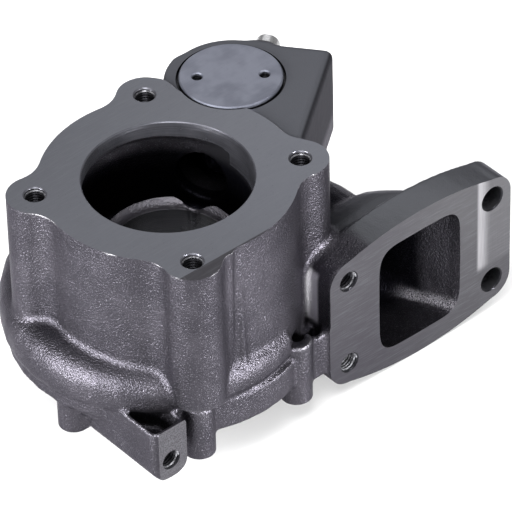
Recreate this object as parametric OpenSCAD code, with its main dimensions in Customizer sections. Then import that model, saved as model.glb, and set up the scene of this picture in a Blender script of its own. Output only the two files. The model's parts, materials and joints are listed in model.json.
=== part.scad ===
// Turbocharger turbine housing, a one-piece iron casting that stands on its
// bearing-housing side with the outlet flange up.
// Millimetres. Z runs up the turbine axis, Z = 0 is the lower mounting plane.
// The inlet flange faces -Y. Gas enters there and circles counter-clockwise
// seen from above, in a scroll that narrows to its tongue.

/* [Outlet flange] */
// Height of the outlet face above the mounting plane
outlet_height = 113.5; // [110:0.5:120]
// Bore of the outlet
outlet_bore_d = 80; // [77:0.5:82]
// Depth of the machined outlet bore
outlet_bore_depth = 17; // [12:0.5:20]
// Diameter of the flange between its bolt lobes
outlet_flange_d = 121; // [117:0.5:124]
// Diameter of the outlet bolt circle
outlet_bolt_circle = 123.8; // [121:0.2:127]
// Azimuth of the first of the four outlet bolts
outlet_bolt_turn = 60.4; // [57:0.2:64]
// Diameter of each bolt lobe and of the column under it
outlet_lobe_d = 27; // [24:0.5:29]
// Radius of the hollow fillets between the lobes and the flange circle
outlet_lobe_fillet = 16; // [12:0.5:20]

/* [Threads] */
// Tapping drill of the M10 holes
tap_drill_d = 8.5; // [8:0.1:9]
// Mouth of the countersink on each M10 hole
tap_mouth_d = 11.2; // [10.5:0.1:12]
// Depth of the four outlet holes
outlet_tap_depth = 26; // [20:0.5:28]
// Depth of the two tapped inlet holes
inlet_tap_depth = 17; // [14:0.5:17.4]
// Depth of the bracket's hole
bracket_tap_depth = 20; // [14:0.5:24]
// Tapping drill of the M8 holes in the mounting bosses
mount_drill_d = 6.8; // [6.4:0.1:7]
// Mouth of the countersink on each M8 hole
mount_mouth_d = 9; // [8.5:0.1:10]
// Depth of the M8 holes
mount_tap_depth = 14; // [11:0.5:15]

/* [Turbine bore] */
// Bore of the throat that the turbine wheel breathes out through
throat_d = 57; // [54:0.5:59]
// Depth of the throat's rim below the outlet face
throat_depth = 38; // [35:0.5:41]
// Thickness of the throat's standing wall
throat_wall = 4.5; // [3.5:0.1:5.5]
// Bore round the widest part of the turbine wheel
wheel_d = 72; // [68:0.5:76]
// Height of the gas slot that feeds the wheel
nozzle_gap = 9; // [7:0.5:10]
// Bore that takes the bearing housing
spigot_d = 94; // [91:0.5:95]
// Depth of that bore
spigot_depth = 24; // [20:0.5:26]
// Diameter of the cored space under the outlet flange
cavity_d = 85; // [83:0.5:87]
// How far that space is set off to the side away from the pod
cavity_offset = 3.4; // [2.8:0.1:4]
// Depth of its roof below the outlet face
cavity_top_depth = 9; // [7:0.5:11]
// Depth of its floor below the outlet face
cavity_floor_depth = 52; // [49:0.5:55]

/* [Scroll] */
// Wall of the scroll
wall = 5; // [4:0.1:6]
// Wall of the scroll on the bearing side
floor_wall = 2.5; // [2:0.1:3.5]
// Height of the scroll's middle line at its start
scroll_start_height = 31.5; // [30:0.5:33]
// Height of the scroll's middle line at its tongue
scroll_end_height = 36.6; // [35:0.2:38]
// Azimuth where the duct turns into the scroll
scroll_start_az = -10; // [-12:1:-8]
// Azimuth of the tongue
scroll_end_az = 290; // [285:1:295]
// Radius of the middle line at the start
scroll_start_radius = 85.5; // [83:0.5:88]
// Radius of the middle line at the tongue
scroll_end_radius = 54; // [53:0.2:56]
// Half the passage's size at the start
scroll_start_half = 23; // [21:0.5:24.5]
// Half the passage's size at the tongue
scroll_end_half = 5; // [4:0.2:6]
// How fast the scroll shrinks at first
scroll_rate = 1.5; // [1.3:0.05:1.8]
// Underside of the rim below the scroll
rim_bottom = 16.5; // [14:0.5:19]
// How far the rim lies inside the scroll's widest line
rim_inset = 2.6; // [2:0.1:4]
// How fast the rim narrows, in millimetres per degree
rim_slope = 0.21; // [0.18:0.01:0.24]
// Azimuth where the rim meets the mounting ring
rim_end_az = 207; // [200:1:212]

/* [Inlet flange] */
// Distance of the inlet face from the turbine axis
inlet_face = 60; // [58.5:0.5:63]
// Middle of the inlet flange, sideways from the turbine axis
inlet_x = 102.3; // [100:0.5:105]
// Middle of the inlet flange above the mounting plane
inlet_z = 30.8; // [29:0.2:33]
// Thickness of the inlet flange
inlet_thickness = 17.5; // [16:0.5:20]
// Bolt spacing along the flange
inlet_bolt_x = 90.5; // [87:0.5:94]
// Bolt spacing across the flange
inlet_bolt_z = 50; // [47:0.5:53]
// Corner radius of the flange
inlet_corner_r = 11.8; // [10.5:0.1:13]
// Rise of the top and bottom edges at the middle
inlet_crown = 6.4; // [5:0.2:8]
// Width of the port
inlet_port_w = 51.4; // [48:0.2:54]
// Height of the port
inlet_port_h = 62.6; // [58:0.2:66]
// Diameter of the two plain bolt holes
inlet_clear_d = 12.5; // [11:0.1:13]
// Mouth of the countersink on the plain holes
inlet_clear_mouth_d = 13.7; // [13.2:0.1:14.5]
// Wall of the duct just behind the flange
port_wall = 6.5; // [5:0.1:8]

/* [Inlet web] */
// Top of the web between the mounting boss and the inlet flange
web_top = 31; // [29:0.5:33]
// Bottom of the web
web_bottom = 5.5; // [4:0.5:8]
// Thickness of the web
web_thickness = 3.2; // [2.6:0.1:4]
// Distance of the web's outer face from the turbine axis
web_front = 58.5; // [57.5:0.1:59.5]

/* [Mounting ring] */
// Diameter of the ring
ring_d = 130; // [127:0.5:133]
// Top of the ring above the mounting plane
ring_top = 28; // [26:0.5:29]
// Underside of the ring above the mounting plane
ring_bottom = 11.5; // [9:0.5:14]
// Diameter of the mounting bosses
boss_d = 15.5; // [14:0.5:17]
// Diameter of the circle that the bosses stand on
boss_circle = 123.8; // [121:0.2:126]
// Azimuths of the five evenly spaced bosses
boss_az = [0.6, 60.6, 120.6, 180.6, 240.6];
// Azimuth of the boss beside the inlet
side_boss_az = 296.8; // [295:0.2:299]
// Top of the boss beside the inlet
side_boss_top = 34.5; // [33:0.5:36]
// Width of the pocket behind that boss
side_pocket_w = 7.6; // [6:0.2:8]
// Floor of that pocket above the mounting plane
side_pocket_floor = 24; // [21:0.5:27]
// Underside of the bolt column that overhangs the mounting ring
column_bottom = 33.5; // [31:0.5:36]

/* [Support bracket] */
// Outer side of the bracket
bracket_x = -61.5; // [-63:0.5:-60]
// Width of the bracket
bracket_width = 18.8; // [17:0.2:21]
// Top of the bracket above the mounting plane
bracket_top = 29.6; // [28:0.2:31]
// Radius of its two lower edges
bracket_corner_r = 6.5; // [5:0.5:8]
// Radius of the upright edge at its free end
bracket_end_r = 3.6; // [2:0.2:4]
// Height of its tapped hole
bracket_hole_z = 10.2; // [9:0.2:11]
// Wall round its pocket at the top edge
bracket_wall = 1.8; // [1.5:0.1:2.5]
// How much thicker that wall is at the pocket's floor
bracket_draft = 2.2; // [1.5:0.1:3]
// Depth of its pocket
bracket_pocket_depth = 12.5; // [10:0.5:14]

/* [Wastegate pod] */
// Distance of the pod's axis from the turbine axis
pod_radius = 79.9; // [78:0.5:82]
// Azimuth of the pod's axis
pod_az = 28.5; // [26:0.5:31]
// Azimuth that the pod's flat outer wall faces
pod_turn = 37; // [34:0.5:40]
// Radius of the pod's round side
pod_round_r = 32; // [31:0.5:34]
// Distance of the pod's flat side from its axis
pod_front = 43; // [41:0.5:45]
// Radius of the pod's corner
pod_corner_r = 4; // [3:0.5:6]
// Pod top below the outlet face
pod_drop = 1.6; // [1:0.1:2.5]
// Depth of the pod's full outline below the outlet face
pod_wall_depth = 49; // [45:0.5:52]
// Inset of the pod's lower part
pod_undercut = 9; // [7:0.5:10]
// Diameter of the plug
plug_d = 49.2; // [48:0.2:50]
// Thickness of the plug inside the pod
plug_thickness = 7; // [6:0.5:8]
// Gap between the plug and its bore
plug_fit = 0.1; // [0.05:0.05:0.2]
// Width of the groove round the plug
plug_groove = 1.5; // [1:0.1:2]
// Depth of that groove
plug_groove_depth = 2.5; // [2:0.1:4]
// Ledge that the plug sits on
plug_ledge = 3; // [2.5:0.1:4]
// Drill of the plug's two tapped holes
plug_tap_d = 5; // [4.2:0.1:5.5]
// Spacing of those holes
plug_tap_spacing = 31.8; // [28:0.2:34]
// Azimuth of the line through them
plug_tap_turn = -38.6; // [-45:0.5:-30]
// Diameter of the cored valve chamber
chamber_d = 46; // [44:0.5:47]
// Diameter of the bypass hole up from the scroll
seat_d = 28; // [26:0.5:30]
// Height of the chamber's floor
seat_height = 66; // [64:0.5:68]
// Diameter of the window from the chamber to the outlet
window_d = 26; // [22:0.5:28]

/* [Wastegate bush] */
// Outer diameter of the bush
bush_d = 12; // [11:0.2:13]
// Bore of the bush
bush_bore_d = 8; // [7:0.2:9]
// How far the bush stands out of the pod
bush_out = 12; // [9:0.5:14]
// How far it reaches into the wall
bush_in = 6.2; // [5.5:0.1:6.3]
// Depth of its axis below the pod's top
bush_depth_below = 12; // [11.5:0.1:14]
// Distance of its axis from the middle of the pod
bush_offset = -8; // [-10:0.5:-6]
// Gap between the bush and its hole
bush_fit = 0.1; // [0.05:0.05:0.2]
// Diameter of the pad round the bush
bush_boss_d = 20; // [18:0.5:22]
// Height of that pad
bush_boss_out = 4; // [3:0.5:6]

/* [Hidden] */
// Lift that keeps two coincident faces apart
e = 0.02;
// Points round each section of the scroll
loft_points = 28;
// Sections along the duct and along the scroll
duct_steps = 8;
scroll_steps = 30;
$fa = 8;
$fs = 1;

pod_x = pod_radius * cos(pod_az);
pod_y = pod_radius * sin(pod_az);
pod_top = outlet_height - pod_drop;
pod_low = outlet_height - pod_wall_depth;
throat_top = outlet_height - throat_depth;
nozzle_mid = (scroll_start_height + scroll_end_height) / 2;
nozzle_low = nozzle_mid - nozzle_gap / 2;
nozzle_high = nozzle_mid + nozzle_gap / 2;
outlet_bolt_az = [for (k = [0:3]) outlet_bolt_turn + 90 * k];
bracket_mid = bracket_x + bracket_width / 2;
bush_z = pod_top - bush_depth_below;
all_boss_az = concat(boss_az, [side_boss_az]);
side_boss = boss_circle / 2 * [cos(side_boss_az), sin(side_boss_az)];
inlet_left = inlet_x - inlet_bolt_x / 2 - inlet_corner_r;

// Scroll path: radius, half size and height fall from the start to the tongue
function s_fall(az) = pow(max(0, (scroll_end_az - az) / (scroll_end_az - scroll_start_az)), scroll_rate);
function s_mix(az, end, start) = end + (start - end) * s_fall(az);
function s_radius(az) = s_mix(az, scroll_end_radius, scroll_start_radius);
function s_half(az) = s_mix(az, scroll_end_half, scroll_start_half);
function s_point(az) = [s_radius(az) * cos(az), s_radius(az) * sin(az),
                        s_mix(az, scroll_end_height, scroll_start_height)];
function unit(v) = v / norm(v);
function flat_unit(v) = unit([v[0], v[1], 0]);
function mix(a, b, t) = a + (b - a) * t;
function ease(t) = t * t * (3 - 2 * t);

// A superellipse point, squarer as n grows
function corner(v, n) = sign(v) * pow(abs(v), 2 / n);
function squircle(th, w, h, n) = [w * corner(cos(th), n), h * corner(sin(th), n)];

// One cross-section: centre, direction of travel, half width, height above and below the centre
function section(c, dir, w, up, low, n_up, n_low) =
    let (side = unit(cross(dir, [0, 0, 1])))
    [for (i = [0:loft_points - 1])
        let (th = i * 360 / loft_points, top = sin(th) >= 0,
             q = squircle(th, w, top ? up : low, top ? n_up : n_low))
        c + side * q[0] + [0, 0, q[1]]];

duct_start = [inlet_x, -inlet_face, inlet_z];
duct_end = s_point(scroll_start_az);
duct_end_dir = flat_unit(s_point(scroll_start_az + 14) - s_point(scroll_start_az - 1));
duct_third = norm(duct_end - duct_start) / 3;
duct_lean = flat_unit(duct_end - duct_start);
function duct_point(t) =
    pow(1 - t, 3) * duct_start + 3 * t * pow(1 - t, 2) * (duct_start + duct_lean * duct_third)
    + 3 * t * t * (1 - t) * (duct_end - duct_end_dir * duct_third) + pow(t, 3) * duct_end;
function duct_dir(t) = flat_unit(mix([0, 1, 0], duct_end_dir, ease(t)));

// Sections from the inlet face to the tongue: the passage itself, or grown by the walls
function passage(port_grow, side_wall, low_wall) = concat(
    [for (i = [0:duct_steps - 1])
        let (t = i / duct_steps, u = ease(t), n = mix(6, 2.3, pow(t, 3)), grow = mix(port_grow, side_wall, u),
             up = mix(inlet_port_h / 2, scroll_start_half, pow(t, 3)) + grow)
        section(duct_point(t), duct_dir(t), mix(inlet_port_w / 2, scroll_start_half, u) + grow,
                up, up, n, n)],
    [for (j = [0:scroll_steps])
        let (t = j / scroll_steps, az = mix(scroll_start_az, scroll_end_az, t), h = s_half(az),
             grow = min(1, 3 * t))
        section(s_point(az), [-sin(az), cos(az), 0], h + side_wall, h + side_wall,
                h + mix(side_wall, low_wall, grow), 2.3,
                side_wall > 0 ? mix(2.3, 4, grow) : 2.3)]);

module loft(rings) {
    n = len(rings[0]);
    m = len(rings);
    polyhedron(
        points = [for (r = rings) each r],
        faces = concat(
            [[for (i = [n - 1:-1:0]) i]],
            [for (k = [0:m - 2]) for (i = [0:n - 1])
                each [[k * n + i, k * n + (i + 1) % n, (k + 1) * n + i],
                      [k * n + (i + 1) % n, (k + 1) * n + (i + 1) % n, (k + 1) * n + i]]],
            [[for (i = [0:n - 1]) (m - 1) * n + i]]));
}

module at_pod() { translate([pod_x, pod_y, 0]) rotate(pod_turn) children(); }
module at_polar(circle_d, azimuths) {
    for (a = azimuths) rotate(a) translate([circle_d / 2, 0, 0]) children();
}

// The concave fillets that blend one lobe into the flange circle
module lobe_web() {
    r = outlet_flange_d / 2;
    l = outlet_lobe_d / 2;
    f = outlet_lobe_fillet;
    d = outlet_bolt_circle / 2;
    a = acos((pow(r + f, 2) + d * d - pow(l + f, 2)) / (2 * (r + f) * d));
    for (s = [-1, 1])
        difference() {
            polygon([[0, 0], [d, 0], (r + f) * [cos(a), s * sin(a)]]);
            translate((r + f) * [cos(a), s * sin(a)]) circle(f);
        }
}

module flange_outline(azimuths) {
    circle(d = outlet_flange_d);
    at_polar(outlet_bolt_circle, azimuths) circle(d = outlet_lobe_d);
    for (a = azimuths) rotate(a) lobe_web();
}

module barrel() {
    translate([0, 0, column_bottom])
        linear_extrude(outlet_height - column_bottom) flange_outline(outlet_bolt_az);
    // The column over the bracket stops short, the others run down to the ring
    translate([0, 0, ring_top - 1]) linear_extrude(column_bottom - ring_top + 1)
        flange_outline([for (k = [0, 1, 3]) outlet_bolt_az[k]]);
}

module scroll_rim() {
    translate([0, 0, rim_bottom]) linear_extrude(nozzle_low - rim_bottom)
        polygon([for (az = [scroll_start_az:10:scroll_start_az + 360])
                     min(s_radius(az) + s_half(az) + wall - rim_inset,
                         ring_d / 2 + rim_slope * (rim_end_az - az)) * [cos(az), sin(az)]]);
}

module pod_outline(inset) {
    r = pod_round_r - inset;
    f = pod_front - inset;
    circle(r);
    hull() {
        translate([0, 1]) circle(r - 1);
        translate([r - pod_corner_r, pod_corner_r - f]) circle(pod_corner_r);
        translate([-50, -f]) square(2);
    }
}

module pod() {
    at_pod() {
        translate([0, 0, pod_low]) linear_extrude(pod_top - pod_low) pod_outline(0);
        translate([0, 0, nozzle_mid]) linear_extrude(pod_low - nozzle_mid + 1) pod_outline(pod_undercut);
        translate([pod_round_r - bush_in, bush_offset, bush_z]) rotate([0, 90, 0])
            cylinder(d = bush_boss_d, h = bush_in + bush_boss_out);
    }
}

module mounting_ring() {
    translate([0, 0, ring_bottom]) cylinder(d = ring_d, h = ring_top - ring_bottom);
    at_polar(boss_circle, boss_az) cylinder(d = boss_d, h = ring_top + 1);
    translate(side_boss) cylinder(d = boss_d, h = side_boss_top);
}

module bracket_profile() {
    r = bracket_corner_r;
    w = bracket_width;
    hull() {
        translate([0, bracket_top - 1]) square([w, 1]);
        for (x = [r, w - r]) translate([x, r]) circle(r);
    }
}

// One level of the bracket's tapered pocket
module pocket_slice(inset, h) {
    translate([bracket_x + inset, inset - inlet_face, 0])
        cube([bracket_width - 2 * inset, inlet_face - inset - 8, h]);
}

module bracket() {
    difference() {
        translate([bracket_x, 0, 0]) rotate([90, 0, 0]) linear_extrude(inlet_face) bracket_profile();
        hull() {
            translate([0, 0, bracket_top]) pocket_slice(bracket_wall, 1);
            translate([0, 0, bracket_top - bracket_pocket_depth])
                pocket_slice(bracket_wall + bracket_draft, 0.1);
        }
        translate([bracket_x, -inlet_face, -1]) linear_extrude(bracket_top + 2) difference() {
            translate([-1, -1]) square(bracket_end_r + 1);
            translate([bracket_end_r, bracket_end_r]) circle(bracket_end_r);
        }
    }
}

// Web from the boss beside the inlet to the back of the inlet flange
module inlet_web() {
    translate([side_boss[0], -web_front, web_bottom])
        cube([inlet_left + 5 - side_boss[0], web_thickness, web_top - web_bottom]);
}

module side_pocket() {
    h = side_boss_top - side_pocket_floor + 1;
    back = web_thickness - web_front;
    translate([side_boss[0] + 1.6, side_boss[1] + 1.6, side_pocket_floor]) cylinder(d = side_pocket_w, h = h);
    translate([side_boss[0] + 1.6, back, side_pocket_floor])
        cube([inlet_left - side_boss[0] - 5, side_boss[1] + 1.6 + side_pocket_w / 2 - back, h]);
}

module inlet_outline() {
    hx = inlet_bolt_x / 2;
    hz = inlet_bolt_z / 2;
    c = inlet_corner_r;
    crown_r = (hx * hx + inlet_crown * inlet_crown) / (2 * inlet_crown);
    hull() for (x = [-hx, hx], z = [-hz, hz]) translate([x, z]) circle(c);
    for (s = [-1, 1])
        intersection() {
            translate([0, s * (hz + c + inlet_crown - crown_r)]) circle(crown_r, $fa = 2);
            translate([-hx, s > 0 ? hz : -hz - c - inlet_crown - 1]) square([2 * hx, c + inlet_crown + 1]);
        }
}

module inlet_plate() {
    translate([inlet_x, inlet_thickness - inlet_face, inlet_z]) rotate([90, 0, 0])
        linear_extrude(inlet_thickness) inlet_outline();
}

// The cored space under the outlet flange, round the standing throat tube
module outlet_core() {
    low = outlet_height - cavity_floor_depth;
    difference() {
        rotate(pod_az + 110) translate([cavity_offset, 0, low])
            cylinder(d = cavity_d, h = cavity_floor_depth - cavity_top_depth);
        translate([0, 0, low - 1]) cylinder(r = throat_d / 2 + throat_wall, h = throat_top - low + 1);
    }
}

module wastegate_core() {
    at_pod() translate([0, 0, seat_height])
        cylinder(d = chamber_d, h = pod_top - plug_thickness - seat_height - 2);
    // Window from the chamber to the outlet
    rotate(pod_az) translate([outlet_bore_d / 2 - 10, 0, seat_height + 3 + window_d / 2]) rotate([0, 90, 0])
        cylinder(d = window_d, h = pod_radius - outlet_bore_d / 2 + 10);
}

// The rough casting with its cored passages
module casting() {
    difference() {
        union() {
            barrel();
            loft(passage(port_wall, wall, floor_wall));
            scroll_rim();
            pod();
            mounting_ring();
            bracket();
            inlet_web();
            inlet_plate();
        }
        translate([0, -e, 0]) loft(passage(0, 0, 0));
        nozzle_slot();
        outlet_core();
        wastegate_core();
        side_pocket();
    }
}

// Slot that feeds the wheel from the whole length of the scroll
module nozzle_slot() {
    translate([0, 0, nozzle_low]) linear_extrude(nozzle_gap)
        polygon(concat(
            [for (az = [scroll_start_az:10:scroll_end_az]) s_radius(az) * [cos(az), sin(az)]],
            [for (az = [scroll_end_az + 5:10:scroll_start_az + 355])
                (spigot_d / 2 - 2) * [cos(az), sin(az)]]));
}

module tapped(depth, drill = tap_drill_d, mouth = tap_mouth_d) {
    // Opens along +Z at the origin
    translate([0, 0, -depth]) cylinder(d = drill, h = depth + 1);
    c = (mouth - drill) / 2;
    translate([0, 0, -c]) cylinder(d1 = drill, d2 = mouth + 2 * e, h = c + e);
}

module turbine_bore() {
    t = throat_d / 2;
    w = wheel_d / 2;
    rotate_extrude()
        polygon([[0, -1], [spigot_d / 2, -1], [spigot_d / 2, spigot_depth], [spigot_d / 2 + 1, nozzle_low],
                 [spigot_d / 2 + 1, nozzle_high], [w, nozzle_high], [w - 2.5, nozzle_high + 7],
                 [t, nozzle_high + 16], [t, throat_top - 2], [t + 1.5, throat_top + 1], [0, throat_top + 1]]);
}

module machining() {
    translate([0, 0, outlet_height - outlet_bore_depth])
        cylinder(d = outlet_bore_d, h = outlet_bore_depth + 1);
    turbine_bore();
    translate([0, 0, outlet_height]) at_polar(outlet_bolt_circle, outlet_bolt_az) tapped(outlet_tap_depth);
    at_polar(boss_circle, all_boss_az) rotate([180, 0, 0])
        tapped(mount_tap_depth, mount_drill_d, mount_mouth_d);
    translate([inlet_x, -inlet_face, inlet_z]) rotate([90, 0, 0])
        for (z = [-1, 1]) {
            translate([-inlet_bolt_x / 2, z * inlet_bolt_z / 2, 0]) tapped(inlet_tap_depth);
            translate([inlet_bolt_x / 2, z * inlet_bolt_z / 2, 0])
                tapped(inlet_thickness + 1, inlet_clear_d, inlet_clear_mouth_d);
        }
    translate([bracket_mid, -inlet_face, bracket_hole_z]) rotate([90, 0, 0]) tapped(bracket_tap_depth);
    at_pod() {
        // Seat for the plug, with the narrow groove round its edge
        translate([0, 0, pod_top - plug_thickness])
            cylinder(d = plug_d + 2 * plug_fit, h = plug_thickness + pod_drop + 1);
        translate([0, 0, pod_top - plug_groove_depth])
            cylinder(d = plug_d + 2 * plug_groove, h = plug_groove_depth + pod_drop + 1);
        translate([0, 0, nozzle_mid]) cylinder(d = seat_d, h = seat_height - nozzle_mid + 2);
        translate([0, 0, pod_top - plug_thickness - 6]) cylinder(d = plug_d - 2 * plug_ledge, h = 7);
        translate([0, bush_offset, bush_z]) rotate([0, 90, 0]) {
            cylinder(d = bush_bore_d, h = pod_round_r);
            translate([0, 0, pod_round_r - bush_in])
                cylinder(d = bush_d + 2 * bush_fit, h = bush_in + bush_boss_out + 1);
        }
    }
}

module turbine_housing() {
    color("dimgray") difference() {
        casting();
        machining();
    }
}

module wastegate_plug() {
    edge = 0.6;
    h = plug_thickness + pod_drop;
    color("silver")
    at_pod() difference() {
        translate([0, 0, pod_top - plug_thickness]) {
            cylinder(d = plug_d, h = h - edge);
            translate([0, 0, h - edge]) cylinder(d1 = plug_d, d2 = plug_d - 2 * edge, h = edge);
        }
        rotate(plug_tap_turn - pod_turn) for (s = [-1, 1])
            translate([s * plug_tap_spacing / 2, 0, outlet_height])
                tapped(plug_thickness - 1, plug_tap_d, plug_tap_d + 1);
    }
}

module wastegate_bush() {
    color("gainsboro")
    at_pod() translate([pod_round_r - bush_in, bush_offset, bush_z]) rotate([0, 90, 0]) difference() {
        cylinder(d = bush_d, h = bush_in + bush_out);
        translate([0, 0, -1]) cylinder(d = bush_bore_d, h = bush_in + bush_out + 2);
    }
}

turbine_housing();
wastegate_plug();
wastegate_bush();
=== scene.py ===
"""The looks of the turbine housing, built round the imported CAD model.

The iron is cast again from the CAD surface, with hollow fillets and softened edges, and is then milled,
bored and drilled. Lengths are millimetres in the CAD frame, but metres in the boxes and the lamps.
"""

import math
from collections import namedtuple

import bmesh
import bpy
import numpy as np
import openvdb
from mathutils import Matrix, Vector
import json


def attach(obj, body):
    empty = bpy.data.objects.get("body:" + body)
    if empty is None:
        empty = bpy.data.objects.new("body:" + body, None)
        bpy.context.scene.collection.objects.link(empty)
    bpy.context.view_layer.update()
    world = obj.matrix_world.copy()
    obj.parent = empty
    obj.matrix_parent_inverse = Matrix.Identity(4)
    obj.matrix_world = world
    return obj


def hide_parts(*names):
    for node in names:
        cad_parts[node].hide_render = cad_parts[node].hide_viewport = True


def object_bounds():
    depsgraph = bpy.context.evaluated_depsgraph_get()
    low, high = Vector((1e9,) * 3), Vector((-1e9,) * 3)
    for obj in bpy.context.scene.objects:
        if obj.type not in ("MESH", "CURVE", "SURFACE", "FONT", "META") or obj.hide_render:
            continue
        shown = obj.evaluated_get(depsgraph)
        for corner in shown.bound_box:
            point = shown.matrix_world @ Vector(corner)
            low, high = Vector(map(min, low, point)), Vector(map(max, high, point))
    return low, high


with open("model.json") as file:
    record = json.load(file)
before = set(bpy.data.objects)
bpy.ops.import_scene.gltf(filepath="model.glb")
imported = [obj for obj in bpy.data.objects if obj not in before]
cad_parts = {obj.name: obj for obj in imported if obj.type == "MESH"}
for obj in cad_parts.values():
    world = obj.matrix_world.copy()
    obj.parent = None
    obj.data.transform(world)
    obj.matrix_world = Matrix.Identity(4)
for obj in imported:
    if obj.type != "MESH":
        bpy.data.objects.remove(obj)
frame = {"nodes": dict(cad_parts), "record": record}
cad_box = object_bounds()
mounts = {m["name"]: m for m in frame["record"]["mounts"]}

MM = 0.001
UP, DOWN, INTO_FLANGE = (0, 0, 1), (0, 0, -1), (0, 1, 0)

# Where the machined faces and holes of the housing are
OUTLET = mounts["outlet_face"]["pos_m"][2] / MM
INLET = mounts["inlet_face"]["pos_m"][1] / MM
BOLT_CIRCLE_RADIUS = 61.9
OUTLET_BOLT_TURNS = (60.4, 150.4, 240.4, 330.4)
BOSS_TURNS = (0.6, 60.6, 120.6, 180.6, 240.6, 296.8)
INLET_BOLTS_Z = (5.8, 55.8)
BRACKET_HOLE_X, BRACKET_HOLE_Z = -52.1, 10.2
BRACKET_RIGHT, BRACKET_HIGH = -42.4, 31
BRACKET_END_FADE = (-41.0, -40.0)
INLET_FLANGE_LEFT = 44.5
OUTLET_BORE_RADIUS, OUTLET_BORE_DEPTH = 40.08, 17
THROAT_TOP = OUTLET - 38

# The wastegate pod, its plug and its bush
POD = Vector((70.2151, 38.1249, 0))
POD_TOP = 111.9
POD_TURN = math.radians(37)
POD_OUTWARD = (math.cos(POD_TURN), math.sin(POD_TURN), 0)
BUSH_OUT, BUSH_ASIDE, BUSH_Z = 26, -8, 99.9
BUSH_SEAT_RADIUS, BUSH_SEAT_LENGTH = 6.1, 14
PLUG_HOLE_REACH, PLUG_HOLE_TURN = 15.9, math.radians(-38.6)

# How coarse the casting's distance fields are, and its roundings as fillet and edge radius
COARSE = 0.7
BODY_ROUNDING = (2.6, 1.0)
BASE_ROUNDING = (1.0, 0.45)
WORN_EDGE = 3.6
FIELD_MARGIN = 14
CASTING_TRIANGLES = 170000
WEAR_PASSES = 3

# Stock left on the casting for machining, and what fills its holes and seats until then
OUTLET_STOCK, INLET_STOCK, BOSS_STOCK = 6, 2.5, 6
BOSS_REACH = 9
HOLE_STOCK, PLAIN_HOLE_FILL, FILL_PROUD = 0.5, 18.4, 5.5
SEAT_FILL_RADIUS, SEAT_FILL_DEPTH, SEAT_FILL_UNDER = 27.5, 8.5, 0.3
BUSH_FILL_RADIUS, BUSH_FILL_LENGTH = 8, 9.9
CUTTER_PROUD = 5

# Threads is the name of the piece that a hole's threads are in, or empty for a plain hole
Hole = namedtuple("Hole", "mouth inward radius depth chamfer pitch threads")

# Where the casting's finish, its painted shade and its painted highlights fade from one look to another,
# each as the start and end of the fade
CHAMBER_WALL, CHAMBER_CEILING, CHAMBER_MIDDLE = (47.0, 48.0), (92.0, 99.0), (33.0, 38.0)
PORT_FRONT, PORT_LEFT, PORT_RIGHT = (-66.0, -50.0), (62.0, 66.0), (116.0, 120.0)
PORT_LOW, PORT_HIGH = (-1.0, 2.0), (60.0, 63.0)
WEB_LEFT, WEB_RIGHT, WEB_FRONT, WEB_BACK = (41.0, 42.6), (45.6, 47.0), (-52.5, -50.0), (-46.2, -45.0)
WEB_LOW, WEB_HIGH = (29.0, 33.0), (58.0, 64.0)
FILLET_LEFT, FILLET_RIGHT, FILLET_BACK = (60.0, 64.0), (124.0, 127.0), (-40.0, -30.0)
FILLET_LOW, FILLET_HIGH = (-4.0, -1.0), (40.0, 50.0)
POD_LEFT, POD_FRONT, POD_FOOT = (34.0, 40.0), (-22.0, -16.0), (72.0, 80.0)
DUCT_LEFT, DUCT_BACK, DUCT_LOW = (66.0, 74.0), (-26.0, -16.0), (56.0, 62.0)
BRACKET_SIDE, BRACKET_BACK, BRACKET_UNDER = (-44.0, -38.0), (-44.0, -38.0), (27.0, 30.0)
THROAT_WALL, THROAT_LIP_LOW, THROAT_LIP_HIGH = (34.0, 36.0), (66.0, 70.0), (77.0, 80.0)
LOW_RIDGES = (31.0, 34.0)
BORE_BRIGHT = (74.0, 98.0)

# Where the casting's own roundings change
CRISP_TO_SOFT_Z = (34.0, 42.0)
WEB_WORN_LEFT, WEB_WORN_RIGHT = (38.0, 41.0), (50.0, 56.0)
WEB_WORN_BACK, WEB_WORN_FOOT = (-44.0, -38.0), (28.0, 34.0)
POD_WORN_REACH, POD_WORN_FOOT, POD_WORN_LEFT = (28.0, 31.0), (92.0, 98.0), (60.0, 68.0)

# Colours of the bare metal, and of painted shade, highlights and reflections, in pairs where a finish varies
# between two
IRON_SKIN = (0.036, 0.034, 0.041), (0.050, 0.047, 0.056)
IRON_WORN = (0.24, 0.235, 0.26)
# Painted highlight on the web's rounded edge beside the inlet
IRON_EDGE_HIGHLIGHT = (0.74, 0.73, 0.77)
# Painted shade for the casting's hollows and the underside of the bracket
HOLLOW_SHADE = (0.022, 0.021, 0.025)
# The pod's flank is painted darker than its top, as shade
POD_SHADED_FLANK_TO_TOP = (0.020, 0.020, 0.023), (0.100, 0.103, 0.117)
DUCT_SKIN = (0.098, 0.102, 0.112)
BURR = (0.55, 0.54, 0.57)
# Painted highlight on the throat's lip
THROAT_HIGHLIGHT = (0.26, 0.25, 0.28)
# Painted light on the hollow fillet inside the inlet duct
PORT_FILLET_LIGHT = (0.30, 0.29, 0.32)
# Painted shade deep in the bore and the inlet duct
PASSAGE_SHADE = (0.003, 0.003, 0.005)
OUTLET_FACE = (0.082, 0.084, 0.097), (0.142, 0.147, 0.169)
INLET_FACE = (0.031, 0.029, 0.036), (0.054, 0.053, 0.058)
# A painted reflection: the bright stripe by the inlet's right-hand holes
INLET_FACE_REFLECTION = (0.27, 0.266, 0.28)
BRACKET_END = (0.026, 0.025, 0.029), (0.075, 0.072, 0.082)
CUTTER_LINE, CUTTER_PIT = (0.19, 0.20, 0.215), (0.04, 0.04, 0.045)
BORE_WALL = (0.075, 0.075, 0.088), (0.11, 0.11, 0.128)
BORE_LINE = (0.20, 0.205, 0.23)
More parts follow.
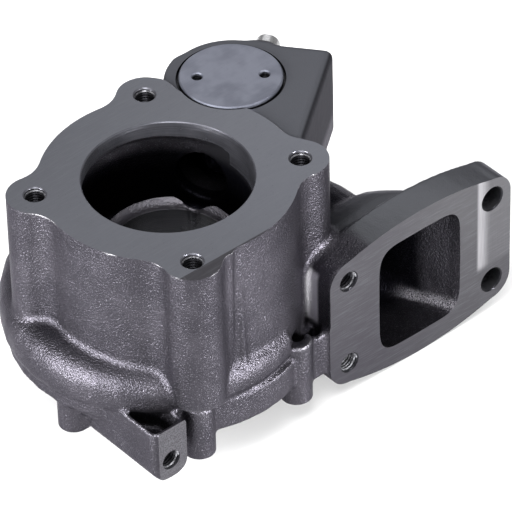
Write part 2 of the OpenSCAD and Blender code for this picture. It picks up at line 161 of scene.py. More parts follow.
# Drilled walls and the plug's gap painted dark as shade, lighter near the inlet's mouths
SHADED_HOLE_WALL = (0.014, 0.014, 0.017), (0.035, 0.035, 0.040)
HOLE_MOUTH = (0.10, 0.10, 0.112)
THREAD_CREST = (0.16, 0.16, 0.175), (0.42, 0.42, 0.45)
# Painted shade deep in the bore, in the holes and in the plug's gap
DEEP_SHADE = (0.015, 0.015, 0.018)
PLUG_FACE = (0.112, 0.118, 0.148), (0.162, 0.170, 0.208)
PLUG_LINE, PLUG_SPECK = (0.22, 0.23, 0.27), (0.09, 0.092, 0.115)
BUSH_STEEL = (0.36, 0.36, 0.37), (0.50, 0.50, 0.51)
PALE_FLOOR = (0.74, 0.74, 0.74), (0.76, 0.76, 0.76)

# The photograph's camera, its turns in degrees, and the studio
PICTURE_PX, FOCAL_PX = 512, 5050.0
OUTLET_CENTRE_PX = (168.0, 176.3)
CAMERA_AWAY = 2316.0
CAMERA_DOWN, CAMERA_AROUND, CAMERA_ROLL = 39.98, -39.60, -1.49
SENSOR_WIDTH = 36
FLOOR_REACH = 3000
WORLD_STRENGTH = 0.38
LAMP_AIM = Vector((0.03, 0, 0.05))

# Each lamp's azimuth and elevation in degrees, distance and sides in metres, and power in watts
LAMPS = {
    "left": (175, 13, 2.4, (0.9, 1.0), 225),
    "front": (284, 10, 2.4, (0.4, 0.7), 195),
    "top": (215, 66, 2.0, (1.0, 1.0), 24),
    "back": (50, 40, 3.2, (2.4, 1.6), 18),
}


# Shader maths


class Field:
    """A shader socket. Sums, products and powers of it add Math nodes."""

    def __init__(self, finish, socket):
        self.finish, self.socket = finish, socket

    def math(self, operation, *others):
        return self.finish.node("Math", {"operation": operation}, dict(enumerate((self, *others))))

    def __add__(self, other):
        return self.math("ADD", other)

    __radd__ = __add__

    def __mul__(self, other):
        return self.math("MULTIPLY", other)

    __rmul__ = __mul__

    def __sub__(self, other):
        return self.math("SUBTRACT", other)

    def __rsub__(self, other):
        return self.math("MULTIPLY_ADD", -1.0, other)

    def __pow__(self, other):
        return self.math("POWER", other)

    def above(self, low, high):
        """0 below low, 1 above high, smooth between."""
        return self.finish.node(
            "MapRange",
            {"interpolation_type": "SMOOTHSTEP"},
            {"Value": self, "From Min": low, "From Max": high},
        )

    def below(self, low, high):
        """1 below low, 0 above high, smooth between."""
        return 1 - self.above(low, high)


class Finish:
    """A material whose nodes are made one call at a time."""

    SOCKETS = {"colour": "Base Color", "roughness": "Roughness", "normal": "Normal"}

    def __init__(self, name, metallic, edge=(1, 1, 1)):
        self.material = bpy.data.materials.new(name)
        self.material.use_nodes = True
        self.nodes = self.material.node_tree.nodes
        self.links = self.material.node_tree.links
        self.shader = self.nodes["Principled BSDF"]
        self.shader.inputs["Metallic"].default_value = metallic
        self.shader.inputs["Specular Tint"].default_value = (*edge, 1)

    def node(self, kind, settings=None, values=None, out=0):
        """Any node: its settings first, then the values or links of its sockets."""
        made = self.nodes.new("ShaderNode" + kind)
        for key, value in (settings or {}).items():
            setattr(made, key, value)
        for key, value in (values or {}).items():
            self.feed(made.inputs[key], value)
        return Field(self, made.outputs[out])

    def feed(self, socket, value):
        if isinstance(value, Field):
            self.links.new(value.socket, socket)
        elif socket.type == "RGBA":
            socket.default_value = (*value, 1)
        else:
            socket.default_value = value

    def place(self, scale=(1, 1, 1), turn=(0, 0, 0)):
        """Object coordinates in millimetres."""
        here = self.node("TexCoord", out=3)
        size = tuple(s / MM for s in scale)
        return self.node("Mapping", {}, {"Vector": here, "Rotation": turn, "Scale": size})

    def axes(self):
        """x, y and z in millimetres, each by itself."""
        here = self.place()
        return [self.node("SeparateXYZ", {}, {0: here}, out=i) for i in range(3)]

    def noise(self, where, per_mm, detail=2.0, rough=0.5):
        return self.node(
            "TexNoise",
            {"noise_dimensions": "3D"},
            {"Vector": where, "Scale": per_mm, "Detail": detail, "Roughness": rough},
        )

    def cells(self, where, per_mm):
        return self.node("TexVoronoi", {}, {"Vector": where, "Scale": per_mm})

    def blend(self, amount, low, high):
        """One colour at 0 and the other at 1."""
        return self.node("Mix", {"data_type": "RGBA"}, {0: amount, 6: low, 7: high}, out=2)

    def bump(self, height, distance, strength=1.0, under=None):
        values = {"Height": height, "Distance": distance * MM, "Strength": strength}
        if under:
            values["Normal"] = under
        return self.node("Bump", {}, values)

    def shade(self, **sockets):
        for key, value in sockets.items():
            self.feed(self.shader.inputs[self.SOCKETS[key]], value)
        return self.material


# The finishes


def in_passages(x, y, z, reach):
    """1 deep inside the bore and the inlet duct, where shade is painted, 0 outside them."""
    chamber = reach.below(*CHAMBER_WALL) * z.below(*CHAMBER_CEILING)
    bore = chamber * (0.15 + reach.above(*CHAMBER_MIDDLE) * 0.85)
    duct = y.above(*PORT_FRONT) * x.above(*PORT_LEFT) * x.below(*PORT_RIGHT)
    return bore + duct * z.above(*PORT_LOW) * z.below(*PORT_HIGH)


def along_web_edge(x, y, z):
    """1 on the rounded left edge of the web beside the inlet, where a highlight is painted."""
    across = x.above(*WEB_LEFT) * x.below(*WEB_RIGHT) * y.above(*WEB_FRONT) * y.below(*WEB_BACK)
    return across * z.above(*WEB_LOW) * z.below(*WEB_HIGH)


def along_port_fillet(x, y, z, facing_up):
    """1 on the hollow between the floor and the right wall of the inlet duct, where light is painted."""
    sloping = facing_up.above(0.25, 0.55) * facing_up.below(0.80, 0.97)
    low = z.below(*FILLET_HIGH) * z.above(*FILLET_LOW)
    return sloping * low * x.above(*FILLET_LEFT) * x.below(*FILLET_RIGHT) * y.below(*FILLET_BACK)


def rough_cast_iron():
    """Sand-cast iron: worn bright on grains and edges, smoother on the pod and the duct, with painted shade
    in hollows, under the bracket, on the pod's flank and in the passages, and painted highlights on the
    web's edge, the throat's lip and the port's fillet.
    """
    f = Finish("rough cast iron", metallic=0.95, edge=(0.62, 0.61, 0.65))
    at = f.place()
    x, y, z = f.axes()
    reach = (x * x + y * y) ** 0.5
    facing_up = f.node("SeparateXYZ", {}, {0: f.node("NewGeometry", out=1)}, out=2)
    worn = f.node("Attribute", {"attribute_name": "worn"}, {}, out=2)

    grain = f.noise(at, 1.7, 1.5, 0.55)
    sand = f.noise(at, 0.85, 1.0, 0.5)
    swell = f.noise(at, 0.16, 2.0, 0.5)
    patches = f.noise(at, 0.045, 3.0, 0.55)

    pod = x.above(*POD_LEFT) * y.above(*POD_FRONT) * z.above(*POD_FOOT)
    duct_top = x.above(*DUCT_LEFT) * z.above(*DUCT_LOW) * y.below(*DUCT_BACK)
    coarse = 1 - (pod + duct_top) * 0.8
    hollow = (worn * -1.0).above(0.03, 0.30)
    ridge = worn.above(0.05, 0.35) * (1 - z.below(*LOW_RIDGES) * 0.5)
    under_bracket_shade = x.below(*BRACKET_SIDE) * y.below(*BRACKET_BACK) * z.below(*BRACKET_UNDER)

    skin = f.blend(patches.above(0.35, 0.65), *IRON_SKIN)
    speckled = f.blend(grain.above(0.60, 0.70) * coarse * 0.36, skin, IRON_WORN)
    # Painted highlight along the web's left edge
    highlighted = f.blend(along_web_edge(x, y, z) * 0.9, speckled, IRON_EDGE_HIGHLIGHT)
    edged = f.blend(ridge * 0.35, highlighted, IRON_WORN)
    # Painted shade: darker in hollows and under the bracket
    hollow_shaded = f.blend(hollow * 0.5 + under_bracket_shade * 0.45, edged, HOLLOW_SHADE)
    fettled = f.blend(duct_top * 0.8, hollow_shaded, DUCT_SKIN)
    # Painted shade: the pod's flank much darker than its top
    pod_shaded_flank_and_top = f.blend(z.above(POD_TOP - 1.5, POD_TOP - 0.5), *POD_SHADED_FLANK_TO_TOP)
    planed = f.blend(pod, fettled, pod_shaded_flank_and_top)

    burr = z.above(OUTLET - 0.9, OUTLET - 0.4) * patches.above(0.46, 0.56) * grain.above(0.40, 0.55)
    burred = f.blend(burr * 0.8, planed, BURR)
    throat_highlight_band = reach.below(*THROAT_WALL) * z.above(*THROAT_LIP_LOW) * z.below(*THROAT_LIP_HIGH)
    # Painted highlight: a bright arc on the throat's lip
    throat_highlighted = f.blend(throat_highlight_band * 0.7, burred, THROAT_HIGHLIGHT)

    fillet = along_port_fillet(x, y, z, facing_up)
    # Painted light on the duct's fillet
    fillet_lit = f.blend(fillet * grain.above(0.30, 0.60) * 0.8, throat_highlighted, PORT_FILLET_LIGHT)
    port_lip = y.below(INLET + 1.6, INLET + 3.0) * facing_up.above(0.2, 0.6)
    # Painted shade inside the passages, less on the duct's fillet and the port's lower lip
    shade = in_passages(x, y, z, reach) * (0.95 - fillet * 0.75 - port_lip * 0.6)
    colour = f.blend(shade, fillet_lit, PASSAGE_SHADE)

    pitted = f.bump((grain * 0.8 + sand * 0.7) * coarse, 0.36)
    normal = f.bump(swell, 0.35, 0.6, under=pitted)
    return f.shade(colour=colour, roughness=0.37 + hollow * 0.15 + pod * 0.2, normal=normal)


def milled_face():
    """The milled outlet and inlet faces, with cutter strokes and a painted reflection on the inlet face, and
    the ground end of the bracket.
    """
    f = Finish("milled face", metallic=0.9)
    at = f.place()
    x, y, z = f.axes()
    on_inlet = y.below(INLET + 0.3, INLET + 0.8)
    on_bracket = x.below(*BRACKET_END_FADE)

    strokes = f.noise(f.place((0.10, 2.4, 2.4), (0.2, 0.1, 0.5)), 1.0)
    upright = f.noise(f.place((2.6, 0.1, 0.05)), 1.0)
    cloud = f.noise(at, 0.03, 3.0, 0.6)
    mottle = f.noise(at, 1.3, 2.0, 0.6)
    pits = f.noise(at, 1.6).above(0.67, 0.75)

    top = f.blend(cloud * 0.4 + y.below(0.0, 60.0) * 0.2 + x.above(-50.0, 75.0) * 0.4, *OUTLET_FACE)
    # Painted reflection: the inlet face lighter towards its right and its top, with a bright stripe by the
    # right-hand holes
    flange = f.blend(x.above(60.0, 138.0) * 0.6 + z.above(0.0, 66.0) * 0.4, *INLET_FACE)
    reflection_stripe = x.above(137.4, 139.4) * (1 - x.above(139.8, 147.0) * 0.9) * z.above(14.0, 19.0)
    highlighted = f.blend(reflection_stripe * (0.30 + upright * 0.8), flange, INLET_FACE_REFLECTION)
    ground = f.blend(mottle.above(0.35, 0.65), *BRACKET_END)
    base = f.blend(on_inlet, top, f.blend(on_bracket, highlighted, ground))
    lined = f.blend(strokes.above(0.45, 0.75) * 0.15, base, CUTTER_LINE)
    colour = f.blend(pits * 0.5, lined, CUTTER_PIT)

    scratches = (strokes * 0.6 + pits * -0.8) * 0.03 * (1 - on_inlet)
    normal = f.bump(scratches + upright * on_inlet * 0.02, 1.0)
    return f.shade(colour=colour, roughness=0.42 + cloud * 0.12, normal=normal)


def turned_bore():
    """A turned wall with fine rings, painted dark as shade below the outlet's bright register."""
    f = Finish("turned bore", metallic=0.9)
    z = f.axes()[2]
    rings = f.noise(f.place((0.01, 0.01, 5.0)), 1.0, 1.0)
    cloud = f.noise(f.place(), 0.07, 3.0, 0.6)
    wall = f.blend(cloud.above(0.3, 0.7), *BORE_WALL)
    lined = f.blend(rings.above(0.4, 0.7) * 0.3, wall, BORE_LINE)
    # Painted shade deeper in the bore
    colour = f.blend(z.below(*BORE_BRIGHT) * 0.93, lined, DEEP_SHADE)
    return f.shade(colour=colour, roughness=0.24 + cloud * 0.1, normal=f.bump(rings, 0.10))


def drilled_hole():
    """A drilled wall painted dark as shade, the painted shade a little lighter near the mouths in the inlet
    face.
    """
    f = Finish("drilled hole", metallic=0.9)
    y = f.axes()[1]
    cloud = f.noise(f.place(), 0.6)
    wall = f.blend(cloud.above(0.35, 0.65), *SHADED_HOLE_WALL)
    colour = f.blend(y.below(INLET + 1, INLET + 7) * 0.8, wall, HOLE_MOUTH)
    return f.shade(colour=colour, roughness=0.42 + cloud * 0.1, normal=f.bump(cloud, 0.05, 0.5))


def cut_thread():
    """Thread crests that are bright near the holes' mouths and painted dark as shade further in."""
    f = Finish("cut thread", metallic=0.9)
    y, z = f.axes()[1:]
    cloud = f.noise(f.place(), 0.6)
    outlet_mouth = z.above(OUTLET - 3, OUTLET - 0.5)
    inlet_mouth = y.below(INLET + 0.8, INLET + 4)
    boss_mouth = z.below(1.0, 6.0)
    near_mouth = (outlet_mouth + inlet_mouth + boss_mouth).math("MINIMUM", 1.0)
    crest = f.blend(cloud.above(0.35, 0.65), *THREAD_CREST)
    # Painted shade on the crests away from the mouths
    colour = f.blend(near_mouth, DEEP_SHADE, crest)
    return f.shade(colour=colour, roughness=0.22 + cloud * 0.1, normal=f.bump(cloud, 0.05, 0.5))


def brushed_plug():
    """The plug's cloudy bright face, with painted shade on its side below the gap."""
    f = Finish("brushed plug", metallic=0.9)
    z = f.axes()[2]
    strokes = f.noise(f.place((0.12, 3.0, 3.0), (0, 0, -0.6)), 1.0)
    cloud = f.noise(f.place(), 0.10)
    specks = f.cells(f.place(), 0.5).above(0.06, 0.14)
    face = f.blend(cloud.above(0.3, 0.7), *PLUG_FACE)
    lined = f.blend(strokes.above(0.4, 0.7) * 0.12, face, PLUG_LINE)
    spotted = f.blend(0.4 - specks * 0.4, lined, PLUG_SPECK)
    # Painted shade on the plug's side below the gap
    colour = f.blend(z.below(OUTLET - 2.2, OUTLET - 1.0), spotted, DEEP_SHADE)
    return f.shade(colour=colour, roughness=0.38 + cloud * 0.1, normal=f.bump(strokes, 0.02, 0.4))


def turned_bush():
    f = Finish("turned bush", metallic=0.95)
    swirl = f.noise(f.place(), 1.6)
    colour = f.blend(swirl.above(0.35, 0.65), *BUSH_STEEL)
    return f.shade(colour=colour, roughness=0.26 + swirl * 0.1, normal=f.bump(swirl, 0.03, 0.4))


def pale_floor():
    f = Finish("pale floor", metallic=0.0)
    tone = f.noise(f.place(), 0.004)
    return f.shade(colour=f.blend(tone, *PALE_FLOOR), roughness=0.8)


# Solids as points and faces


def cad_surface(node):
    """A CAD node's surface, its loose triangles merged."""
    work = bmesh.new()
    work.from_mesh(frame["nodes"][node].data)
    bmesh.ops.remove_doubles(work, verts=work.verts, dist=1e-6)
    bmesh.ops.triangulate(work, faces=work.faces)
    points = np.array([v.co for v in work.verts]) / MM
    work.verts.index_update()
    triangles = np.array([[v.index for v in f.verts] for f in work.faces])
    work.free()
    return points, triangles


def lathe(profile, origin=(0, 0, 0), axis=UP, sides=96):
    """A closed solid turned about an axis from (radius, height) pairs that start and end on it."""
    turn = Vector(UP).rotation_difference(Vector(axis)).to_matrix()
    rings = profile[1:-1]
    points = [turn @ Vector((0, 0, profile[0][1]))]
    for radius, height in rings:
        for i in range(sides):
            angle = 2 * math.pi * i / sides
            points.append(turn @ Vector((radius * math.cos(angle), radius * math.sin(angle), height)))
    points.append(turn @ Vector((0, 0, profile[-1][1])))
    last, top, faces = len(points) - 1, 1 + (len(rings) - 1) * sides, []
    for i in range(sides):
        j = (i + 1) % sides
        faces.append((0, 1 + j, 1 + i))
        for k in range(len(rings) - 1):
            low, high = 1 + k * sides, 1 + (k + 1) * sides
            faces += [(low + i, low + j, high + j), (low + i, high + j, high + i)]
        faces.append((top + i, top + j, last))
    return np.array(points) + np.array(origin), np.array(faces)


def drum(radius, low, high, origin=(0, 0, 0), axis=UP, sides=96):
    """A plain cylinder between two heights along an axis."""
    return lathe([(0, low), (radius, low), (radius, high), (0, high)], origin, axis, sides)


def block(low, high):
    x, y, z = zip(low, high)
    points = np.array([(a, b, c) for c in z for b in y for a in x], float)
    quads = [(0, 2, 3, 1), (4, 5, 7, 6), (0, 1, 5, 4), (2, 6, 7, 3), (0, 4, 6, 2), (1, 3, 7, 5)]
    return points, np.array([t for a, b, c, d in quads for t in ((a, b, c), (a, c, d))])


def together(solids):
    """Several closed solids as one list of points and one of triangles."""
    points, faces, count = [], [], 0
    for p, f in solids:
        points.append(p)
        faces.append(f + count)
        count += len(p)
    return np.concatenate(points), np.concatenate(faces)


def at_pod(x, y, z):
    """A place given along and across the pod, in the CAD frame."""
    c, s = math.cos(POD_TURN), math.sin(POD_TURN)
    return (POD.x + c * x - s * y, POD.y + s * x + c * y, z)


def on_circle(radius, turns, z):
    """Places on a bolt circle from their angles in degrees."""
    angles = [math.radians(t) for t in turns]
    return [(radius * math.cos(a), radius * math.sin(a), z) for a in angles]


def holes():
    """Every drilled hole of the casting."""
    found = []
    for spot in on_circle(BOLT_CIRCLE_RADIUS, OUTLET_BOLT_TURNS, OUTLET):
        found.append(Hole(spot, DOWN, 5.0, 26.0, 0.6, 1.5, "outlet_threads"))
    tapped_x, plain_x = (mounts[name]["pos_m"][0] / MM for name in ("inlet_tapped", "inlet_plain"))
    for z in INLET_BOLTS_Z:
        found.append(Hole((tapped_x, INLET, z), INTO_FLANGE, 5.0, 17.0, 0.6, 1.5, "inlet_threads"))
        found.append(Hole((plain_x, INLET, z), INTO_FLANGE, 6.25, 20.0, 0.6, 0, ""))
    spot = (BRACKET_HOLE_X, INLET, BRACKET_HOLE_Z)
    found.append(Hole(spot, INTO_FLANGE, 5.0, 20.0, 0.2, 1.5, "bracket_thread"))
    for spot in on_circle(BOLT_CIRCLE_RADIUS, BOSS_TURNS, 0):
        found.append(Hole(spot, UP, 4.0, 14.0, 0.5, 1.25, "boss_threads"))
    return found


# Distance fields


def field_range():
    """The grid cells that the casting needs, as a low and a high corner."""
    low, high = cad_box
    below = tuple(round((c / MM - FIELD_MARGIN) / COARSE) for c in low)
    above = tuple(round((c / MM + FIELD_MARGIN) / COARSE) for c in high)
    return below, above


def level_set(points, faces, reach):
    count = {3: "triangles", 4: "quads"}[faces.shape[1]]
    return openvdb.FloatGrid.createLevelSetFromPolygons(
        points.astype(np.float32),
        transform=openvdb.createLinearTransform(voxelSize=COARSE),
        halfWidth=reach / COARSE + 2,
        **{count: faces.astype(np.uint32)},
    )


def quads_of(grid, shift=0.0):
    """The surface that lies shift outside a level set, its faces turned outwards."""
    points, quads = grid.convertToQuads(isovalue=shift)
    return points, quads[:, ::-1]


def soften(points, faces, fillet, edge):
    """A solid's distance field with its hollows filled to one radius and its ridges rounded to another."""
    surface = quads_of(level_set(points, faces, fillet), fillet)
    surface = quads_of(level_set(*surface, fillet + edge), -fillet - edge)
    surface = quads_of(level_set(*surface, edge), edge)
    grid = level_set(*surface, 3.0)
    low, high = field_range()
    field = np.zeros(tuple(b - a for a, b in zip(low, high)), np.float32)
    grid.copyToArray(field, ijk=low)
    return field


def field_grid(field):
    grid = openvdb.FloatGrid(float(field.max()))
    grid.copyFromArray(field, ijk=field_range()[0])
    grid.transform = openvdb.createLinearTransform(voxelSize=COARSE)
    grid.gridClass = "level set"
    return grid


def ramp(value, low, high):
    """0 below low, 1 above high, smooth between."""
    t = np.clip((value - low) / (high - low), 0, 1)
    return t * t * (3 - 2 * t)


# Blender meshes


def plain_mesh(name, points, faces, material):
    mesh = bpy.data.meshes.new(name)
    mesh.from_pydata((np.asarray(points, float) * MM).tolist(), [], np.asarray(faces).tolist())
    mesh.materials.append(material)
    made = bpy.data.objects.new(name, mesh)
    bpy.context.scene.collection.objects.link(made)
    return made


def settle(made):
    """Applies what modifiers are on an object."""
    graph = bpy.context.evaluated_depsgraph_get()
    mesh = bpy.data.meshes.new_from_object(made.evaluated_get(graph))
    mesh.name = made.name
    made.modifiers.clear()
    made.data = mesh


def cut(made, solids, material):
    """Cuts closed solids from an object and leaves a material on the cut faces."""
    tool = plain_mesh("tool", *together(solids), material)
    step = made.modifiers.new("cut", "BOOLEAN")
    step.operation = "DIFFERENCE"
    step.solver = "MANIFOLD"
    step.material_mode = "TRANSFER"
    step.object = tool
    settle(made)
    bpy.data.objects.remove(tool)


# The casting


def with_stock(points):
    """The CAD surface's points, with stock on the faces that are machined later."""
    near_boss = np.zeros(len(points), bool)
    for x, y, _ in on_circle(BOLT_CIRCLE_RADIUS, BOSS_TURNS, 0):
        near_boss |= np.hypot(points[:, 0] - x, points[:, 1] - y) < BOSS_REACH
    points[points[:, 2] > OUTLET - 0.01, 2] += OUTLET_STOCK
    points[abs(points[:, 1] - INLET) < 0.01, 1] -= INLET_STOCK
    points[near_boss & (abs(points[:, 2]) < 0.01), 2] -= BOSS_STOCK
    return points


def rounded_casting():
    """The rough casting with hollow fillets and softened edges, before any machining."""
    points, triangles = cad_surface("turbine_housing")
    solids = [(with_stock(points), triangles)]
    for hole in holes():
        wide = hole.radius + hole.chamfer + HOLE_STOCK
        deep = hole.depth + 1 if hole.pitch else PLAIN_HOLE_FILL
        solids.append(drum(wide, -FILL_PROUD, deep, hole.mouth, hole.inward, 40))
    seat_foot = at_pod(0, 0, POD_TOP - SEAT_FILL_DEPTH)
    solids.append(drum(SEAT_FILL_RADIUS, -SEAT_FILL_UNDER, SEAT_FILL_DEPTH, seat_foot))
    bush_spot = at_pod(BUSH_OUT, BUSH_ASIDE, BUSH_Z)
    solids.append(drum(BUSH_FILL_RADIUS, 0, BUSH_FILL_LENGTH, bush_spot, POD_OUTWARD, 40))

    rough = together(solids)
    fillet, edge = BODY_ROUNDING
    soft = soften(*rough, fillet, edge)
    crisp = soften(*rough, *BASE_ROUNDING)
    worn = soften(*rough, fillet, WORN_EDGE)

    x, y, z = (np.arange(low, high) * COARSE for low, high in zip(*field_range()))
    x, y, z = x[:, None, None], y[None, :, None], z[None, None, :]
    body = crisp + (soft - crisp) * ramp(z, *CRISP_TO_SOFT_Z)
    web_edge = ramp(x, *WEB_WORN_LEFT) * (1 - ramp(x, *WEB_WORN_RIGHT))
    web_edge = web_edge * (1 - ramp(y, *WEB_WORN_BACK)) * ramp(z, *WEB_WORN_FOOT)
    pod_edge = ramp(np.hypot(x - POD.x, y - POD.y), *POD_WORN_REACH) * ramp(z, *POD_WORN_FOOT)
    pod_edge = pod_edge * ramp(x, *POD_WORN_LEFT)
    return quads_of(field_grid(body + (worn - body) * np.maximum(web_edge, pod_edge)))


def mark_wear(made):
    """The attribute worn on each point: above 0 on ridges, below 0 in hollows."""
    mesh = made.data
    n = len(mesh.vertices)
    points, normals = np.zeros(n * 3), np.zeros(n * 3)
    mesh.vertices.foreach_get("co", points)
    mesh.vertex_normals.foreach_get("vector", normals)
    edges = np.zeros(len(mesh.edges) * 2, int)
    mesh.edges.foreach_get("vertices", edges)
    points, normals = points.reshape(-1, 3) / MM, normals.reshape(-1, 3)
    a, b = edges.reshape(-1, 2).T
    span = points[b] - points[a]
    bend = ((normals[b] - normals[a]) * span).sum(1) / np.maximum((span**2).sum(1), 0.05)
    value, count = np.zeros(n), np.zeros(n)
    for end in (a, b):
        np.add.at(value, end, bend)
        np.add.at(count, end, 1)
    value /= np.maximum(count, 1)
    for _ in range(WEAR_PASSES):
        total = value.copy()
        np.add.at(total, a, value[b])
        np.add.at(total, b, value[a])
        value = total / (count + 1)
    layer = mesh.attributes.new("worn", "FLOAT", "POINT")
    layer.data.foreach_set("value", value.astype(np.float32))


def mill_faces(made, metal):
    """The outlet face, the inlet face, the bracket's end and the mounting bosses."""
    far, boss_radius, boss_drop = 300, 12, 9
    flange = block((INLET_FLANGE_LEFT, -far, -far), (far, INLET, far))
    bracket = block((-far, -far, -far), (BRACKET_RIGHT, INLET, BRACKET_HIGH))
    cut(made, [block((-far, -far, OUTLET), (far, far, far))], metal)
    cut(made, [flange, bracket], metal)
    bosses = on_circle(BOLT_CIRCLE_RADIUS, BOSS_TURNS, 0)
    cut(made, [drum(boss_radius, -boss_drop, 0, spot, UP, 32) for spot in bosses], metal)


def outlet_register():
    """The turned wall under the outlet face, with its chamfered rim."""
    radius, wall, rim = OUTLET_BORE_RADIUS, OUTLET - OUTLET_BORE_DEPTH, OUTLET_BORE_RADIUS + 1.02
    return lathe([
        (0, wall), (radius, wall), (radius, OUTLET - 0.5),
        (rim, OUTLET + 0.5), (rim, OUTLET + 5), (0, OUTLET + 5),
    ], sides=160)


def bell_mouth():
    """The rounded mouth that leads the throat into the chamber."""
    top = THROAT_TOP
    return lathe([
        (0, top - 7), (28.3, top - 7), (28.3, top - 5), (28.9, top - 3.1), (30.1, top - 1.5),
        (31.9, top - 0.4), (34.0, top + 0.3), (0, top + 0.3),
    ], sides=160)


def wheel_passage():
    """The bearing housing's bore, the gap to the scroll, and the wheel's shroud up to the throat."""
    rim, bore, gap, shroud, throat = 47.6, 47.08, 48.08, 36.08, 28.58
    gap_low, gap_high = 28.3, 37.2
    return lathe([
        (0, -CUTTER_PROUD), (rim, -CUTTER_PROUD), (rim, 0.02), (bore, 0.6), (bore, 24), (gap, gap_low),
        (gap, gap_high), (shroud, gap_high), (shroud - 2.5, gap_high + 7.1),
        (throat, gap_high + 16.1), (throat, THROAT_TOP - 5), (0, THROAT_TOP - 5),
    ], sides=160)


def countersink(hole):
    wide, narrow, deep = hole.radius + hole.chamfer, hole.radius - 0.2, hole.chamfer + 0.2
    profile = [(0, -CUTTER_PROUD), (wide, -CUTTER_PROUD), (wide, 0), (narrow, deep), (0, deep)]
    return lathe(profile, hole.mouth, hole.inward, 48)


def tapping(hole):
    """The space of one drilled hole with its drill point."""
    radius, depth = hole.radius, hole.depth
    profile = [(0, -CUTTER_PROUD), (radius, -CUTTER_PROUD), (radius, depth), (0, depth + radius * 0.5)]
    return lathe(profile, hole.mouth, hole.inward, 48)


def plug_seat():
    """The stepped seat in the pod's top, wider than the plug by the dark gap."""
    low, step, high, narrow, wide = POD_TOP - 7, POD_TOP - 2.5, POD_TOP + 6, 24.7, 26.1
    profile = [(0, low), (narrow, low), (narrow, step), (wide, step), (wide, high), (0, high)]
    return lathe(profile, (POD.x, POD.y, 0), UP, 128)


def machine_casting(made, finishes):
    """The milled planes, the turned bores and the drilled holes, cut with crisp edges."""
    mill_faces(made, finishes["mill"])
    cut(made, [outlet_register()], finishes["turn"])
    cut(made, [bell_mouth()], finishes["cast"])
    cut(made, [wheel_passage()], finishes["turn"])
    cut(made, [countersink(hole) for hole in holes()], finishes["turn"])
    cut(made, [tapping(hole) for hole in holes()], finishes["hole"])
    cut(made, [plug_seat()], finishes["hole"])
    bush_spot = at_pod(BUSH_OUT - 0.2, BUSH_ASIDE, BUSH_Z)
    bush_seat = drum(BUSH_SEAT_RADIUS, 0.05, BUSH_SEAT_LENGTH, bush_spot, POD_OUTWARD, 48)
    cut(made, [bush_seat], finishes["turn"])


def make_casting(finishes):
    points, quads = rounded_casting()
    made = plain_mesh("iron_casting", points, quads, finishes["cast"])
    thin = made.modifiers.new("thin", "DECIMATE")
    thin.ratio = min(1, CASTING_TRIANGLES / (2 * len(quads)))
    settle(made)
    work = bmesh.new()
    work.from_mesh(made.data)
    bmesh.ops.triangulate(work, faces=work.faces)
    work.to_mesh(made.data)
    work.free()
    mark_wear(made)
    machine_casting(made, finishes)
    made.data.polygons.foreach_set("use_smooth", [True] * len(made.data.polygons))
    made.data.set_sharp_from_angle(angle=math.radians(38))
    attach(made, "root")
    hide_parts("turbine_housing")


# The threads


def thread_tree():
    """One helical ridge, set in every hole of a list of points."""
    tree = bpy.data.node_groups.new("thread in every hole", "GeometryNodeTree")
    tree.interface.new_socket("Holes", in_out="INPUT", socket_type="NodeSocketGeometry")
    for name in ("Radius", "Ridge", "Pitch", "Depth"):
        tree.interface.new_socket(name, in_out="INPUT", socket_type="NodeSocketFloat")
    tree.interface.new_socket("Metal", in_out="INPUT", socket_type="NodeSocketMaterial")
    tree.interface.new_socket("Threads", in_out="OUTPUT", socket_type="NodeSocketGeometry")

    def node(kind, links=None, **settings):
        made = tree.nodes.new(kind)
        for key, value in settings.items():
            setattr(made, key, value)
        for key, value in (links or {}).items():
            if isinstance(value, bpy.types.NodeSocket):
                tree.links.new(value, made.inputs[key])
            else:
                made.inputs[key].default_value = value
        return made.outputs

    sizes = node("NodeGroupInput")
    radius, depth = sizes["Radius"], sizes["Depth"]
    turns = node("ShaderNodeMath", {0: depth, 1: sizes["Pitch"]}, operation="DIVIDE")[0]
    spiral = {"Resolution": 28, "Rotations": turns, "Start Radius": radius, "End Radius": radius}
    helix = node("GeometryNodeCurveSpiral", {**spiral, "Height": depth})[0]
    upright = node("GeometryNodeSetCurveNormal", {"Curve": helix}, mode="Z_UP")[0]
    profile = {"Resolution": 4, "Radius": sizes["Ridge"]}
    ridge = node("GeometryNodeCurvePrimitiveCircle", profile, mode="RADIUS")[0]
    sweep = {"Curve": upright, "Profile Curve": ridge, "Fill Caps": True}
    swept = node("GeometryNodeCurveToMesh", sweep)[0]
    way = node("GeometryNodeInputNamedAttribute", {"Name": "into"}, data_type="FLOAT_VECTOR")[0]
    turn = node("FunctionNodeAlignRotationToVector", {"Vector": way}, axis="Z")[0]
    places = {"Points": sizes["Holes"], "Instance": swept, "Rotation": turn}
    placed = node("GeometryNodeInstanceOnPoints", places)[0]
    real = node("GeometryNodeRealizeInstances", {"Geometry": placed})[0]
    finished = node("GeometryNodeSetMaterial", {"Geometry": real, "Material": sizes["Metal"]})[0]
    node("NodeGroupOutput", {0: finished})
    return tree


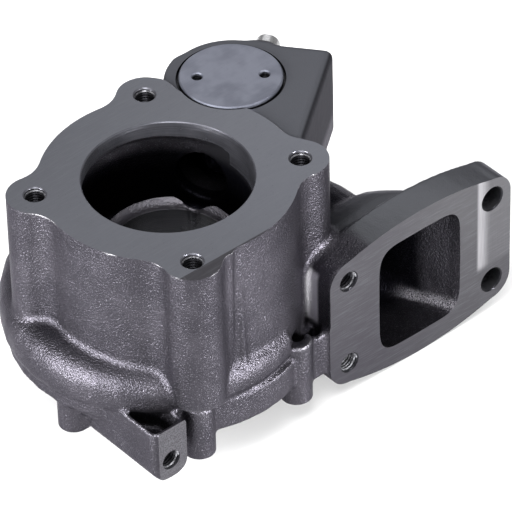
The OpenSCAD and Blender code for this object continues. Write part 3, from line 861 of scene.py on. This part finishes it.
def make_thread_piece(tree, found, ridge, metal):
    """The threads of like holes as one piece, from just inside their mouths to just above their ends."""
    first, start, short = found[0], 0.9, 2
    mesh = bpy.data.meshes.new(first.threads)
    mesh.from_pydata([(Vector(h.mouth) + Vector(h.inward) * start) * MM for h in found], [], [])
    way = mesh.attributes.new("into", "FLOAT_VECTOR", "POINT")
    way.data.foreach_set("vector", [v for h in found for v in h.inward])
    made = bpy.data.objects.new(first.threads, mesh)
    bpy.context.scene.collection.objects.link(made)
    step = made.modifiers.new("threads", "NODES")
    step.node_group = tree
    sizes = {"Radius": first.radius, "Ridge": ridge, "Pitch": first.pitch, "Depth": first.depth - short}
    values = {name: size * MM for name, size in sizes.items()} | {"Metal": metal}
    for socket in tree.interface.items_tree:
        if socket.in_out == "INPUT" and socket.name in values:
            step[socket.identifier] = values[socket.name]
    settle(made)
    made.data.polygons.foreach_set("use_smooth", [False] * len(made.data.polygons))
    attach(made, "root")


def make_threads(finishes):
    tree = thread_tree()
    groups = {}
    for hole in holes():
        if hole.threads:
            groups.setdefault(hole.threads, []).append(hole)
    for found in groups.values():
        make_thread_piece(tree, found, found[0].pitch * 0.34, finishes["thread"])
    found = []
    for reach in (-PLUG_HOLE_REACH, PLUG_HOLE_REACH):
        across, along = reach * math.cos(PLUG_HOLE_TURN), reach * math.sin(PLUG_HOLE_TURN)
        spot = (POD.x + across, POD.y + along, OUTLET)
        found.append(Hole(spot, DOWN, 2.55, 6.0, 0, 1.0, "plug_threads"))
    make_thread_piece(tree, found, 0.2, finishes["hole"])


# The studio


def make_camera():
    """The photograph's camera, solved from where the outlet's centre lies in the picture."""
    down, around, roll = (math.radians(v) for v in (CAMERA_DOWN, CAMERA_AROUND, CAMERA_ROLL))
    flat = math.cos(down)
    forward = Vector((-math.sin(around) * flat, math.cos(around) * flat, -math.sin(down)))
    right = Vector((math.cos(around), math.sin(around), 0))
    up = right.cross(forward)
    across = math.cos(roll) * right + math.sin(roll) * up
    high = -math.sin(roll) * right + math.cos(roll) * up
    aside, drop = ((v - PICTURE_PX / 2) / FOCAL_PX * CAMERA_AWAY for v in OUTLET_CENTRE_PX)
    place = -CAMERA_AWAY * forward - aside * across + drop * high + Vector((0, 0, OUTLET))
    lens = bpy.data.cameras.new("view")
    lens.lens, lens.sensor_width, lens.clip_end = FOCAL_PX / PICTURE_PX * SENSOR_WIDTH, SENSOR_WIDTH, 20
    camera = bpy.data.objects.new("view", lens)
    turn = Matrix((across, high, -forward)).transposed().to_4x4()
    camera.matrix_world = Matrix.Translation(place * MM) @ turn
    bpy.context.scene.collection.objects.link(camera)
    bpy.context.scene.camera = camera


def make_lamp(name, azimuth, elevation, away, sides, power):
    """A rectangle of soft light that faces the housing from a compass direction in the part's frame."""
    az, el = math.radians(azimuth), math.radians(elevation)
    toward = Vector((math.cos(el) * math.cos(az), math.cos(el) * math.sin(az), math.sin(el)))
    lamp = bpy.data.lights.new(name, "AREA")
    lamp.shape, lamp.energy = "RECTANGLE", power
    lamp.size, lamp.size_y = sides
    made = bpy.data.objects.new(name, lamp)
    made.location = LAMP_AIM + away * toward
    made.rotation_euler = (-toward).to_track_quat("-Z", "Y").to_euler()
    bpy.context.scene.collection.objects.link(made)


def make_studio():
    scene = bpy.context.scene
    scene.view_settings.view_transform = "Standard"
    scene.world = bpy.data.worlds.new("studio")
    scene.world.use_nodes = True
    sky = scene.world.node_tree.nodes["Background"]
    sky.inputs["Color"].default_value = (1, 1, 1, 1)
    sky.inputs["Strength"].default_value = WORLD_STRENGTH
    low, far = cad_box[0][2] / MM - 0.2, FLOOR_REACH
    corners = [(-far, -far, low), (far, -far, low), (far, far, low), (-far, far, low)]
    plain_mesh("floor", corners, [(0, 1, 2, 3)], pale_floor())
    for name, lamp in LAMPS.items():
        make_lamp(name, *lamp)


def main():
    finishes = {
        "cast": rough_cast_iron(),
        "mill": milled_face(),
        "turn": turned_bore(),
        "hole": drilled_hole(),
        "thread": cut_thread(),
    }
    make_camera()
    make_studio()
    make_casting(finishes)
    make_threads(finishes)
    for node, finish in (("wastegate_plug", brushed_plug()), ("wastegate_bush", turned_bush())):
        frame["nodes"][node].data.materials.clear()
        frame["nodes"][node].data.materials.append(finish)


main()
